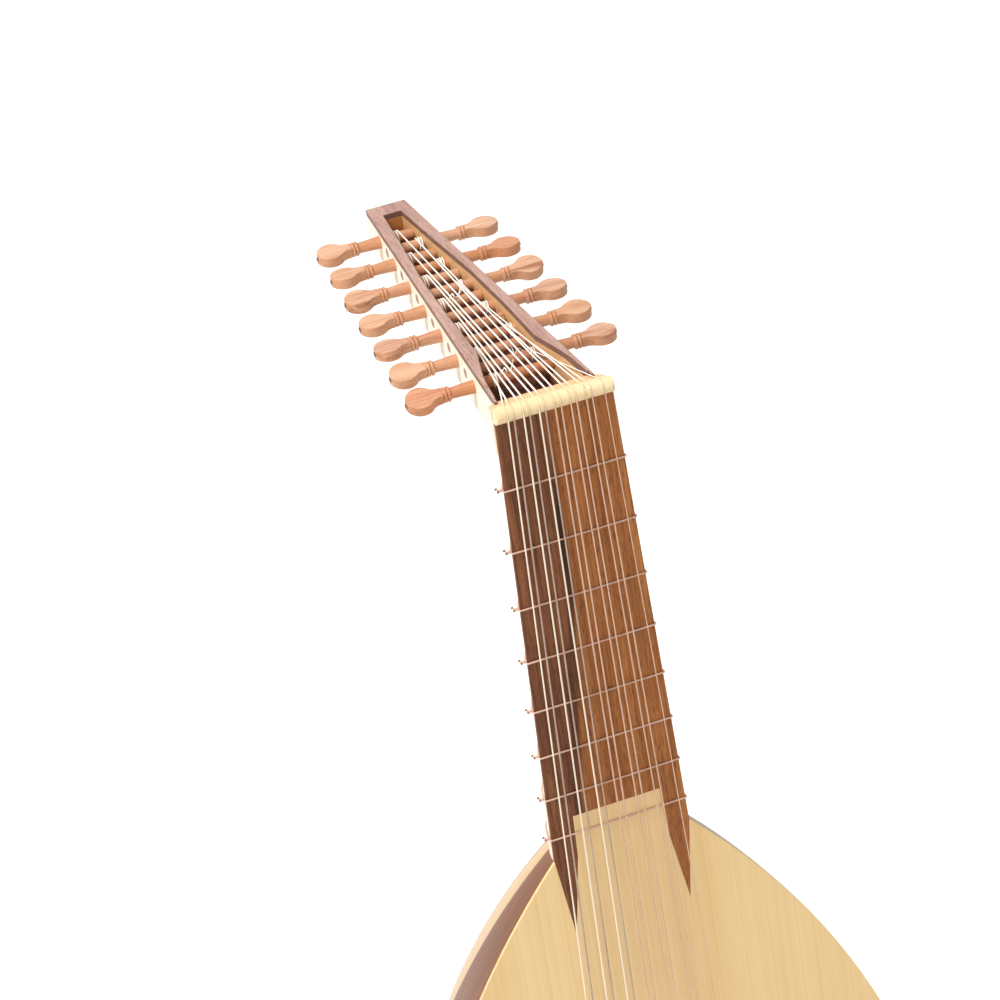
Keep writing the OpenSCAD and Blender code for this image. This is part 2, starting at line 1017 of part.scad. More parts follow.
module string_07() {
    color([0.94, 0.9, 0.82])
        lute_string(6);
}

module string_08() {
    color([0.94, 0.9, 0.82])
        lute_string(7);
}

module string_09() {
    color([0.94, 0.9, 0.82])
        lute_string(8);
}

module string_10() {
    color([0.94, 0.9, 0.82])
        lute_string(9);
}

module string_11() {
    color([0.94, 0.9, 0.82])
        lute_string(10);
}

module string_12() {
    color([0.94, 0.9, 0.82])
        lute_string(11);
}

module string_13() {
    color([0.94, 0.9, 0.82])
        lute_string(12);
}

// Piece to draw

soundboard();
bar_upper();
bar_lower();
bridge();
neck_block();
tail_block();
end_clasp();
strap_button();
neck();
fingerboard();
nut();
pegbox_block();
pegbox_side_left();
pegbox_side_right();
pegbox_back();
pegbox_end();
pegbox_cap();
rib_1();
rib_2();
rib_3();
rib_4();
rib_5();
rib_6();
rib_7();
rib_8();
rib_9();
fret_1();
fret_2();
fret_3();
fret_4();
fret_5();
fret_6();
fret_7();
fret_8();
peg_l7();
peg_r6();
peg_l6();
peg_r5();
peg_l5();
peg_r4();
peg_l4();
peg_r3();
peg_l3();
peg_r2();
peg_l2();
peg_r1();
peg_l1();
string_01();
string_02();
string_03();
string_04();
string_05();
string_06();
string_07();
string_08();
string_09();
string_10();
string_11();
string_12();
string_13();
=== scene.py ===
"""Looks of the seven-course lute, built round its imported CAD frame.

The kept CAD pieces get procedural wood and bone. The strings, frets, pegs, neck, ribs, strap button
and the carving of the rose are meshes made here. Places are metres in the row frame: +Z runs up the
neck and the soundboard faces -Y. Sizes in millimetres are multiplied by MM where they are used.
"""

import json
import math

import bmesh
import bpy
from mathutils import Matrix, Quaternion, Vector


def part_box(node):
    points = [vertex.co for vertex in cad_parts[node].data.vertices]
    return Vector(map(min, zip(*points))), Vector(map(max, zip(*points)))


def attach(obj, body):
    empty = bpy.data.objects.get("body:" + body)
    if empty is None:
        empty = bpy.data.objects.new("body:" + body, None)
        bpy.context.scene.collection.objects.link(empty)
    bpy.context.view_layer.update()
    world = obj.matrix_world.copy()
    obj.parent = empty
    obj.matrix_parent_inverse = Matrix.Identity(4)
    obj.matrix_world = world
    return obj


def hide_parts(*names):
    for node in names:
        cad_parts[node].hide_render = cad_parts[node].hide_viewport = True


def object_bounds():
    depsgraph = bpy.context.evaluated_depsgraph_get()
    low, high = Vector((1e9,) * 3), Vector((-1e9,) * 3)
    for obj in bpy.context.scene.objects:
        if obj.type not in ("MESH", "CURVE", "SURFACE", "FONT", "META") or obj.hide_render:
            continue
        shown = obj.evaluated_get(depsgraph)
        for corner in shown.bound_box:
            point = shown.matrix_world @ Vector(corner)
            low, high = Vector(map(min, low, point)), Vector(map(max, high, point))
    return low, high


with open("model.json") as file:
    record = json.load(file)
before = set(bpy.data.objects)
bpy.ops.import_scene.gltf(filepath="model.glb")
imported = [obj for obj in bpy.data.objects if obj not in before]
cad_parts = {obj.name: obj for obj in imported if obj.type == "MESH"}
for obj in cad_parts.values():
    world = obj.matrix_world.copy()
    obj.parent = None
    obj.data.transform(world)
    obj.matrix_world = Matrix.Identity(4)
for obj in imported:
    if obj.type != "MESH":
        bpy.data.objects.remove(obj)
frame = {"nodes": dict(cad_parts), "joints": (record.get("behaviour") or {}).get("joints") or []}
cad_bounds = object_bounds()

MM = 0.001

# Places taken from the frame.
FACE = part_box("fingerboard")[0].y
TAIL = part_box("soundboard")[0].z
NUT_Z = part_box("nut")[0].z
JOINT_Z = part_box("neck")[0].z
BRIDGE_LOW, BRIDGE_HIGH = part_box("bridge")
BOARD_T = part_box("fingerboard")[1].y - FACE
AXIS_Y = FACE + BOARD_T
JOINT_AT = {j["name"]: Vector(j.get("pos_m", (0, 0, 0))) for j in frame["joints"]}

# Neck and bowl, in millimetres, as in the CAD source.
NUT_HW, JOINT_HW = 28.5, 35.1
NECK_DEPTH = 22.0
FLANK_CUT = 0.27
BELLY_R = 150.0
RIB_T = 1.6
POLE_R = 17.0
RIB_COUNT = 9
SCALE_MM = 600.0
FRET_COUNT = 8
FRET_GAP, FRET_T = 0.1, 0.9

# Rose, in millimetres, as in the CAD source.
ROSE_Z, ROSE_R = 262.0, 41.0

# Nut, strings and pegs, in millimetres, as in the CAD source. STRING_PEG and the lists below it
# count the pegs from the nut, where an even place is on the left.
NUT_H, NUT_R, NUT_RISE = 1.5, 3.4, 2.6
NUT_BACK = 6.0
NUT_PITCH, NUT_PAIR = 7.55, 2.9
BRIDGE_PITCH, BRIDGE_PAIR = 13.25, 3.8
STRING_SHIFT = 1.35
STRING_H, HOLE_H = 5.8, 3.4
STRING_R = [0.45, 0.5, 0.5, 0.5, 0.5, 0.5, 0.47, 0.47, 0.45, 0.45, 0.4, 0.4, 0.3]
STRING_PEG = [0, 2, 4, 6, 8, 10, 12, 11, 9, 7, 5, 3, 1]
PEGS = ["l7", "r6", "l6", "r5", "l5", "r4", "l4", "r3", "l3", "r2", "l2", "r1", "l1"]
PEG_TURN = [17, 0, 13, 4, 0, 0, 3, 13, 8, -2, 0, 0, 8]
WIND_X = [-11.8, 11.9, -11.3, 11.4, -9.8, 9.3, -7.8, 6.1, -6.6, 6.2, -5.5, 4.4, -3.2]
WIND_LEN, WIND_IN, WIND_GAP = 4.0, 2.95, 0.35
PEG_FIRST, PEG_STEP, PEG_REACH = 38.2, 14.09, 33.8
SHAFT_R, MID_R, TIP_R = 3.2, 2.9, 2.6

# How much slimmer the strings are drawn than the CAD's, and which ones show a curled end.
STRING_SLIM = 0.86
TAILED = (0, 3, 12)

# Pegbox, in millimetres and degrees, as in the CAD source. SLOT_LINE holds the hollow's half
# width at distances from the nut end.
BOX_TILT = 2.4
BOX_FACE_Y, BOX_FACE_Z = 11.1, 5.55
BOX_LEN, BOX_HW_NEAR, BOX_HW_FAR = 232.0, 24.15, 10.45
BOX_DEPTH_NEAR, BOX_DEPTH_FAR = 23.3, 19.0
CAP_T = 3.0
SLOT_LINE = [(1, 14.4), (60, 14.4), (95, 13.8), (136, 12), (187, 7.4), (220.5, 4.85)]


def peg_side(index):
    """-1 for a peg on the left, 1 for one on the right."""
    return -1 if index % 2 == 0 else 1


def rgb(red, green, blue):
    """A shader colour from an sRGB colour of 0 to 255."""
    return tuple(((c / 255 + 0.055) / 1.055) ** 2.4 for c in (red, green, blue)) + (1.0,)


# ---------------------------------------------------------------- materials


class Graph:
    """Adds and links the shader nodes of one new material."""

    def __init__(self, name):
        self.material = bpy.data.materials.new(name)
        self.material.use_nodes = True
        self.tree = self.material.node_tree
        self.shader = self.tree.nodes["Principled BSDF"]

    def put(self, socket, value):
        if isinstance(value, bpy.types.NodeSocket):
            self.tree.links.new(value, socket)
        else:
            socket.default_value = value

    def add(self, kind, settings=None, **inputs):
        node = self.tree.nodes.new(kind)
        for key, value in (settings or {}).items():
            setattr(node, key, value)
        for key, value in inputs.items():
            self.put(node.inputs[key.replace("_", " ")], value)
        return node

    def mix(self, factor, a, b):
        node = self.add("ShaderNodeMix", {"data_type": "RGBA"})
        for index, value in ((0, factor), (6, a), (7, b)):
            self.put(node.inputs[index], value)
        return node.outputs[2]

    def math(self, operation, a, b=0.0, clamp=False):
        node = self.add("ShaderNodeMath", {"operation": operation, "use_clamp": clamp})
        self.put(node.inputs[0], a)
        self.put(node.inputs[1], b)
        return node.outputs[0]

    def spread(self, value, low, high):
        """value stretched so that low becomes 0 and high becomes 1."""
        return self.add("ShaderNodeMapRange", Value=value, From_Min=low, From_Max=high).outputs[0]

    def coords(self, source="Object"):
        return self.tree.nodes.new("ShaderNodeTexCoord").outputs[source]

    def noise(self, coords, waves, seed=0.0, detail=4.0, low=0.34, high=0.66):
        """Noise from 0 to 1 with this many waves per metre along x, y and z."""
        shift = (seed * 3.7, seed * 7.1, seed * 5.3)
        place = self.add("ShaderNodeMapping", Vector=coords, Scale=waves, Location=shift)
        wave = self.add("ShaderNodeTexNoise", Vector=place.outputs[0], Scale=1.0, Detail=detail,
                        Roughness=0.6)
        return self.spread(wave.outputs[0], low, high)

    def edges(self, radius):
        """A normal softened at edges, and a mask that is 1 where it leaves the true normal."""
        soft = self.add("ShaderNodeBevel", {"samples": 4}, Radius=radius).outputs[0]
        true = self.add("ShaderNodeNewGeometry").outputs["Normal"]
        dot = self.add("ShaderNodeVectorMath", {"operation": "DOT_PRODUCT"})
        self.put(dot.inputs[0], soft)
        self.put(dot.inputs[1], true)
        return soft, self.spread(dot.outputs["Value"], 0.97, 0.75)

    def finish(self, colour, rough, height, depth, normal=None, **shader):
        """Links the shader's colour, roughness and bump. depth is the bump's height in metres."""
        bump = self.add("ShaderNodeBump", Strength=1.0, Distance=depth, Height=height)
        if normal is not None:
            self.put(bump.inputs["Normal"], normal)
        self.put(self.shader.inputs["Base Color"], colour)
        self.put(self.shader.inputs["Roughness"], rough)
        self.put(self.shader.inputs["Normal"], bump.outputs[0])
        for key, value in shader.items():
            self.put(self.shader.inputs[key.replace("_", " ")], value)
        return self.material


def along(axis, across, length):
    """Waves per metre along x, y and z for grain that runs along an axis."""
    return tuple(length if name == axis else across for name in "XYZ")


def wood(name, pale, dark, axis, source="Object", seed=0.0, fibre=620, figure=45, straight=30,
         pores=0.0, heart=None, rough=0.52, depth=0.05 * MM, worn=0.25, coat=0.1, side=None,
         turned=None):
    """Wood with fibres, a slow figure, optional pores, a heartwood stain and edges worn paler.

    side is painted shade: a darker colour for the faces that don't look up. turned is painted
    shade: a darker colour for the faces marked as turned in the mesh, which leaves the flat ones
    lighter. heart is the stain's colour and how much of it shows.
    """
    g = Graph(name)
    coords = g.coords(source)
    slow = g.noise(coords, along(axis, figure, figure / 12), seed)
    fine = g.noise(coords, along(axis, fibre, fibre / straight), seed + 1, 6.0, 0.3, 0.7)
    tone = g.math("ADD", g.math("MULTIPLY", slow, 0.55), g.math("MULTIPLY", fine, 0.45))
    colour = g.mix(tone, pale, dark)
    if heart:
        stain, amount = heart
        mask = g.noise(coords, along(axis, 150, 9), seed + 2, 3.0, 1 - amount, 1.12 - amount)
        colour = g.mix(g.math("MULTIPLY", mask, 0.85), colour, stain)
    dots = g.noise(coords, along(axis, 2600, 190), seed + 3, 2.0, 0.6, 0.68)
    dark_dot = tuple(c * 0.35 for c in dark[:3]) + (1.0,)
    colour = g.mix(g.math("MULTIPLY", dots, pores), colour, dark_dot)
    normal, rim = g.edges(0.5 * MM)
    colour = g.mix(g.math("MULTIPLY", rim, worn), colour, tuple(min(1, c * 1.25) for c in pale))
    # Painted shade: the turned faces are darkened, which leaves the flat faces of a peg's head lighter.
    if turned:
        mark = g.add("ShaderNodeAttribute", {"attribute_name": "turned"}).outputs["Fac"]
        colour = g.mix(g.math("MULTIPLY", mark, 0.4), colour, turned)
    # Painted shade on the faces that don't look up.
    if side:
        axes = g.add("ShaderNodeSeparateXYZ", Vector=g.add("ShaderNodeNewGeometry").outputs["Normal"])
        colour = g.mix(g.math("MULTIPLY", g.spread(axes.outputs[2], 0.7, 0.4), 0.8), colour, side)
    height = g.math("SUBTRACT", fine, g.math("MULTIPLY", dots, 1.5 * pores))
    roughness = g.math("ADD", g.math("MULTIPLY", fine, 0.14), rough - 0.07)
    return g.finish(colour, roughness, height, depth, normal, Coat_Weight=coat, Coat_Roughness=0.35)


def fingerboard_wood():
    """Walnut cut across its heart: dark reddish wood on the bass side, golden wood on the treble
    side, and one nearly black vein between them that runs down from the nut."""
    g = Graph("walnut_fingerboard")
    coords = g.coords()
    axes = g.add("ShaderNodeSeparateXYZ", Vector=coords)
    x, z = axes.outputs[0], axes.outputs[2]
    wander = g.math("MULTIPLY", g.math("SUBTRACT", g.noise(coords, (70, 70, 7), 5.0), 0.5), 5 * MM)
    fine = g.noise(coords, (620, 620, 16), 1.0, 6.0, 0.3, 0.7)
    slow = g.noise(coords, (110, 110, 5), 2.0)
    bass = g.mix(fine, rgb(156, 98, 62), rgb(84, 46, 28))
    treble = g.mix(fine, rgb(200, 130, 70), rgb(146, 86, 42))
    treble = g.mix(g.math("MULTIPLY", slow, 0.4), treble, rgb(138, 80, 40))
    down = g.math("SUBTRACT", NUT_Z, z)
    drift = g.math("ADD", g.math("MULTIPLY", g.spread(down, 30 * MM, 95 * MM), 1.4 * MM),
                   g.math("MULTIPLY", g.spread(down, 95 * MM, 200 * MM), 10.5 * MM))
    vein_x = g.math("SUBTRACT", -6 * MM, drift)
    beside = g.math("SUBTRACT", g.math("ADD", x, g.math("MULTIPLY", wander, 0.5)), vein_x)
    colour = g.mix(g.spread(beside, -2 * MM, 3 * MM), bass, treble)
    width = g.math("ADD", g.math("MULTIPLY", g.spread(down, 20 * MM, 62 * MM), 2 * MM), 0.6 * MM)
    core = g.math("SUBTRACT", 1.0, g.math("DIVIDE", g.math("ABSOLUTE", beside), width), clamp=True)
    fade = g.math("ADD", g.math("MULTIPLY", g.spread(down, 130 * MM, 75 * MM), 0.35), 0.5)
    fade = g.math("MULTIPLY", g.spread(down, 10 * MM, 50 * MM), fade)
    vein = g.math("MULTIPLY", g.spread(core, 0.0, 0.5), fade)
    colour = g.mix(vein, colour, rgb(44, 26, 20))
    dots = g.noise(coords, (2400, 2400, 150), 3.0, 2.0, 0.58, 0.66)
    colour = g.mix(g.math("MULTIPLY", dots, 0.6), colour, rgb(66, 36, 24))
    normal, rim = g.edges(0.3 * MM)
    colour = g.mix(g.math("MULTIPLY", rim, 0.2), colour, rgb(190, 140, 96))
    rough = g.math("ADD", g.math("MULTIPLY", fine, 0.15), 0.5)
    height = g.math("SUBTRACT", fine, dots)
    return g.finish(colour, rough, height, 0.05 * MM, normal, Specular_IOR_Level=0.25)


def bone():
    """Cream bone, faintly mottled, with fine pores and a polished crest."""
    g = Graph("bone_cream")
    coords = g.coords()
    cloud = g.noise(coords, (160, 160, 160), 1.0, 5.0)
    streak = g.noise(coords, (90, 700, 700), 2.0)
    colour = g.mix(g.math("MULTIPLY", cloud, 0.7), rgb(248, 226, 186), rgb(240, 208, 156))
    colour = g.mix(g.math("MULTIPLY", streak, 0.3), colour, rgb(230, 192, 130))
    dots = g.noise(coords, (500, 2600, 2600), 3.0, 2.0, 0.62, 0.7)
    colour = g.mix(g.math("MULTIPLY", dots, 0.35), colour, rgb(176, 138, 84))
    normal = g.edges(0.25 * MM)[0]
    rough = g.math("ADD", g.math("MULTIPLY", cloud, 0.12), 0.3)
    return g.finish(colour, rough, g.math("SUBTRACT", streak, dots), 0.02 * MM, normal,
                    Subsurface_Weight=0.15, Subsurface_Scale=2 * MM)


def gut(name, pale, dark, rough=0.34, twist=900, strung=False):
    """Twisted gut or nylon: fibre marks, slow changes of tone and a soft sheen. A strung one gets
    painted light: the bone's colour painted on it in its nut slot, and a painted whiter tint in the
    pegbox."""
    g = Graph(name)
    coords = g.coords()
    cloud = g.noise(coords, (60, 60, 60), 1.0)
    fibre = g.noise(coords, (twist, twist, twist), 2.0)
    tone = g.math("ADD", g.math("MULTIPLY", cloud, 0.5), g.math("MULTIPLY", fibre, 0.5))
    colour = g.mix(tone, pale, dark)
    if strung:
        # Painted light: the bone's colour painted on the string in the nut slot, and a painted whiter tint
        # in the pegbox.
        axes = g.add("ShaderNodeSeparateXYZ", Vector=coords)
        in_slot = g.spread(axes.outputs[2], NUT_Z + 0.4 * MM, NUT_Z + 2.0 * MM)
        colour = g.mix(g.math("MULTIPLY", in_slot, 0.8), colour, rgb(246, 222, 172))
        in_box = g.spread(axes.outputs[1], FACE + NUT_BACK * MM, FACE + (NUT_BACK + 4) * MM)
        colour = g.mix(g.math("MULTIPLY", in_box, 0.9), colour, rgb(255, 251, 242))
    roughness = g.math("ADD", g.math("MULTIPLY", fibre, 0.15), rough)
    return g.finish(colour, roughness, fibre, 0.02 * MM)


def pegbox_wood(name, pale, dark, inner, deepest_shade, top=None):
    """Maple that is nearly white outside. Inside the box it gets painted shade: gold, and darker
    towards the floor. top is a colour of painted shade for the faces that look up."""
    g = Graph(name)
    coords = g.coords()
    slow = g.noise(coords, (30, 2.5, 30), 1.0)
    fine = g.noise(coords, (800, 26, 800), 2.0, 6.0, 0.3, 0.7)
    tone = g.math("ADD", g.math("MULTIPLY", slow, 0.5), g.math("MULTIPLY", fine, 0.5))
    outside = g.mix(tone, pale, dark)
    axes = g.add("ShaderNodeSeparateXYZ", Vector=coords)
    x, y, z = axes.outputs
    start = FACE + BOX_FACE_Y * MM
    reach = g.math("SUBTRACT", y, start)
    taper = (BOX_HW_NEAR - BOX_HW_FAR) / BOX_LEN
    wall = g.math("SUBTRACT", BOX_HW_NEAR * MM, g.math("MULTIPLY", reach, taper))
    within = g.spread(g.math("SUBTRACT", wall, g.math("ABSOLUTE", x)), 0.9 * MM, 1.6 * MM)
    rise = g.math("MULTIPLY", reach, math.tan(math.radians(BOX_TILT)))
    below = g.math("SUBTRACT", g.math("ADD", rise, NUT_Z + BOX_FACE_Z * MM), z)
    under_cap = g.spread(below, (CAP_T - 0.6) * MM, (CAP_T + 0.2) * MM)
    facing = g.add("ShaderNodeSeparateXYZ", Vector=g.add("ShaderNodeNewGeometry").outputs["Normal"])
    not_below = g.spread(facing.outputs[2], -0.6, -0.4)
    at_end = g.math("MULTIPLY", g.spread(facing.outputs[1], 0.4, 0.6), g.spread(reach, 200 * MM, 210 * MM))
    mask = g.math("MULTIPLY", g.math("MULTIPLY", within, under_cap),
                  g.math("MULTIPLY", not_below, g.math("SUBTRACT", 1.0, at_end)))
    # Painted shade inside the box: gold below the cap, darkening to the deepest colour towards the floor.
    painted_shade_inside = g.mix(g.spread(below, 7 * MM, 17 * MM), inner, deepest_shade)
    painted_shade_inside = g.mix(g.math("MULTIPLY", tone, 0.35), painted_shade_inside, deepest_shade)
    colour = g.mix(mask, outside, painted_shade_inside)
    # Painted shade on the faces that look up: the top colour mixed with the painted shade of the inside.
    if top:
        colour = g.mix(g.spread(facing.outputs[2], 0.5, 0.7), colour, g.mix(tone, top, painted_shade_inside))
    normal, rim = g.edges(0.4 * MM)
    colour = g.mix(g.math("MULTIPLY", rim, 0.12), colour, rgb(214, 168, 120))
    rough = g.math("ADD", g.math("MULTIPLY", fine, 0.12), 0.42)
    return g.finish(colour, rough, fine, 0.03 * MM, normal, Coat_Weight=0.1)


def floor_paint():
    """Pale matt studio floor with faint clouds and a fine tooth. It looks a little brighter to the
    camera than the light it gives back."""
    g = Graph("floor_pale")
    coords = g.coords()
    cloud = g.noise(coords, (1.5, 1.5, 1.5), 1.0)
    tooth = g.noise(coords, (300, 300, 300), 2.0)
    colour = g.mix(cloud, rgb(252, 252, 251), rgb(248, 248, 247))
    seen = g.add("ShaderNodeLightPath").outputs["Is Camera Ray"]
    return g.finish(colour, 0.9, tooth, 0.02 * MM, Emission_Color=(1, 1, 1, 1),
                    Emission_Strength=g.math("MULTIPLY", seen, 0.34))


def paint(nodes, material):
    """Gives kept CAD nodes a material through their own material slots."""
    for name in nodes:
        node = frame["nodes"][name]
        if not node.material_slots:
            node.data.materials.append(material)
        for slot in node.material_slots:
            slot.material = material


# ---------------------------------------------------------------- mesh helpers


def loft(bm, rings, closed=False, material=0):
    """Joins rings of points with quads. An open loft gets both ends capped."""
    verts = [[bm.verts.new(p) for p in ring] for ring in rings]
    count = len(rings[0])
    pairs = list(zip(verts, verts[1:]))
    if closed:
        pairs.append((verts[-1], verts[0]))
    faces = []
    for low, high in pairs:
        for i in range(count):
            j = (i + 1) % count
            faces.append(bm.faces.new((low[i], low[j], high[j], high[i])))
    if not closed:
        faces.append(bm.faces.new(verts[0][::-1]))
        faces.append(bm.faces.new(verts[-1]))
    for face in faces:
        face.material_index = material
        face.smooth = True


def tube(path, radius, sides=10, up=None, closed=False, flat=1.0):
    """Rings of a tube along a path. Without up, the rings are carried with the least twist."""
    count = len(path)
    normal = up or (path[1] - path[0]).orthogonal()
    rings = []
    for k, point in enumerate(path):
        before = path[k - 1] if k or closed else point
        after = path[(k + 1) % count] if k < count - 1 or closed else point
        tangent = (after - before).normalized()
        start = up or normal
        normal = (start - tangent * start.dot(tangent)).normalized()
        side = tangent.cross(normal)
        size = radius[k] if isinstance(radius, list) else radius
        turns = [2 * math.pi * i / sides for i in range(sides)]
        rings.append([point + (normal * math.cos(t) * flat + side * math.sin(t)) * size for t in turns])
    return rings


def rounded(points, radius, steps=5):
    """A polyline whose inner corners are replaced by small curves."""
    path = [points[0]]
    for a, corner, b in zip(points, points[1:], points[2:]):
        start = corner + (a - corner).normalized() * radius
        end = corner + (b - corner).normalized() * radius
        for k in range(steps + 1):
            t = k / steps
            path.append(start * (1 - t) ** 2 + corner * 2 * t * (1 - t) + end * t * t)
    path.append(points[-1])
    return path


def slab(half_w, half_t, corner, share=1.0, count=9):
    """A rounded rectangle. share blends it from an ellipse at 0 to the full rectangle at 1."""
    points = []
    corner = min(corner, half_w * 0.9)
    for quarter in range(4):
        sx, sy = ((1, 1), (-1, 1), (-1, -1), (1, -1))[quarter]
        for k in range(count):
            turn = math.pi / 2 * (quarter + k / (count - 1) * 0.96 + 0.02)
            c, s = math.cos(turn), math.sin(turn)
            x = sx * (half_w - corner) + corner * c
            y = sy * (half_t - corner) + corner * s
            points.append((x * share + half_w * c * (1 - share), y * share + half_t * s * (1 - share)))
    return points


def piece(name, body, materials, build, stands_for, sharp=38):
    """Makes one clean mesh piece that rides on a body. build fills its bmesh in the row frame."""
    bm = bmesh.new()
    build(bm)
    bmesh.ops.remove_doubles(bm, verts=bm.verts, dist=1e-7)
    bmesh.ops.recalc_face_normals(bm, faces=bm.faces)
    for edge in bm.edges:
        if edge.calc_face_angle(0.0) > math.radians(sharp):
            edge.smooth = False
    mesh = bpy.data.meshes.new(name)
    bm.to_mesh(mesh)
    bm.free()
    for material in materials:
        mesh.materials.append(material)
    obj = bpy.data.objects.new(name, mesh)
    bpy.context.scene.collection.objects.link(obj)
    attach(obj, body)
    if stands_for:
        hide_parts(*stands_for)
    return obj


# ---------------------------------------------------------------- neck and bowl


def neck_part(z):
    """0 at the nut and 1 at the body joint, for a height z in metres."""
    return (NUT_Z - z) / (NUT_Z - JOINT_Z)


def neck_half_width(z):
    return (NUT_HW + (JOINT_HW - NUT_HW) * neck_part(z)) * MM


def neck_depth(z):
    return (NECK_DEPTH + (JOINT_HW - NECK_DEPTH) * neck_part(z)) * MM


def flank(z, t):
    """How much the neck's flanks are slimmer than a half oval. It fades out at the body joint."""
    s = math.sin(t)
    fade = min(1.0, (z - JOINT_Z) / (60 * MM))
    return 1 - FLANK_CUT * fade * s * (1 - s)


def under_pegbox(y):
    """Height of the pegbox's underside where it rests on the neck's end."""
    slope = math.tan(math.radians(BOX_TILT)) + (BOX_DEPTH_NEAR - BOX_DEPTH_FAR) / BOX_LEN
    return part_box("pegbox_block")[0].z + (y - FACE - NUT_BACK * MM) * slope


def neck_ring(z, steps=44, gap=0.06 * MM):
    """One section of the neck: a half oval behind the fingerboard, cut away under the pegbox."""
    hw, depth = neck_half_width(z), neck_depth(z)
    edge = math.asin(NUT_BACK * MM / depth - BOARD_T / depth)
    turns = [edge * k / 4 for k in range(5)]
    turns += [edge + 1e-3 + (math.pi - 2 * edge - 2e-3) * k / steps for k in range(steps + 1)]
    turns += [math.pi - edge * (4 - k) / 4 for k in range(5)]
    ring = []
    for t in turns:
        y = AXIS_Y + depth * math.sin(t)
        top = z
        if edge < t < math.pi - edge:
            top = min(z, under_pegbox(y) - gap)
            y = AXIS_Y + neck_depth(top) * math.sin(t)
            hw = neck_half_width(top)
        ring.append(Vector((hw * math.cos(t) * flank(top, t), y + 0.02 * MM, top)))
    return ring


def build_neck(bm):
    count = 24
    top = NUT_Z - 0.05 * MM
    loft(bm, [neck_ring(JOINT_Z + (top - JOINT_Z) * k / count) for k in range(count + 1)])


def bowl_line():
    """The bowl's half outline: (distance from the axis, height) and the outward direction, in mm."""
    flank_in, flank_h = BELLY_R - JOINT_HW, (JOINT_Z - TAIL) / MM - BELLY_R
    flank_r = (flank_h ** 2 + flank_in ** 2) / (2 * flank_in)
    first = math.asin(POLE_R / BELLY_R)
    last = math.asin(flank_h / flank_r)
    line = []
    for k in range(25):
        turn = first + (math.pi / 2 - first) * k / 24
        line.append((BELLY_R * math.sin(turn), BELLY_R - BELLY_R * math.cos(turn),
                     math.sin(turn), -math.cos(turn)))
    for k in range(1, 31):
        turn = last * k / 30
        line.append((BELLY_R - flank_r + flank_r * math.cos(turn), BELLY_R + flank_r * math.sin(turn),
                     math.cos(turn), math.sin(turn)))
    return line


def build_rib(bm, number):
    """A bent rib: nearly flat across between its seams, with a fine groove along each seam."""
    half = math.pi / RIB_COUNT / 2
    seam = 0.00035
    middle = half * (2 * number - 1)
    steps = 8
    flatten = 0.5
    groove = 0.22
    uv = bm.loops.layers.uv.new("grain")
    rings = []
    for rho, z, out_r, out_z in bowl_line():
        outer, inner = [], []
        for k in range(steps + 1):
            turn = (2 * k / steps - 1) * (half - seam)
            drop = flatten * rho * (1 - math.cos(half) / math.cos(turn))
            notch = groove if k in (0, steps) else 0.0
            a = middle + turn
            for skin, depth in ((outer, drop + notch), (inner, drop * 0.5 + RIB_T)):
                r, h = rho - out_r * depth, z - out_z * depth
                skin.append(Vector((r * math.cos(a) * MM, AXIS_Y + r * math.sin(a) * MM, TAIL + h * MM)))
        rings.append(outer + inner[::-1])
    loft(bm, rings)
    for face in bm.faces:
        for loop in face.loops:
            p = loop.vert.co
            a = math.atan2(p.y - AXIS_Y, p.x) - middle
            loop[uv].uv = (p.z, a * math.hypot(p.x, p.y - AXIS_Y) + 0.05 * number)


def build_button(bm):
    """The turned strap button: rounded head, waist, collar against the bowl and stem."""
    profile = [(0.3, 0.0), (4.9, 0.0), (6.0, 0.3), (6.5, 1.0), (6.5, 2.6), (6.2, 3.5), (5.4, 4.0),
               (4.7, 4.7), (4.4, 5.8), (4.4, 8.0), (4.8, 9.0), (6.4, 9.7), (7.7, 10.4), (8.0, 11.2),
               (8.0, 12.6), (7.6, 13.0), (3.9, 13.1), (3.9, 27.6), (3.4, 28.0), (0.3, 28.0)]
    rings = []
    for r, z in profile:
        turns = [2 * math.pi * k / 48 for k in range(48)]
        rings.append([Vector((r * math.cos(t) * MM, r * math.sin(t) * MM, z * MM)) for t in turns])
    loft(bm, rings)


# ---------------------------------------------------------------- strings and frets


def on_circle(x, y, z, radius, turn):
    return Vector((x, y - radius * math.cos(turn), z + radius * math.sin(turn)))


def string_x(number, pitch, pair):
    """Sideways place of string number 0 to 12, in metres: six pairs and a single treble."""
    course = number // 2 if number < 12 else 6
    side = 0.0 if number == 12 else (-0.5, 0.5)[number % 2]
    return ((course - 3) * pitch + side * pair + STRING_SHIFT) * MM


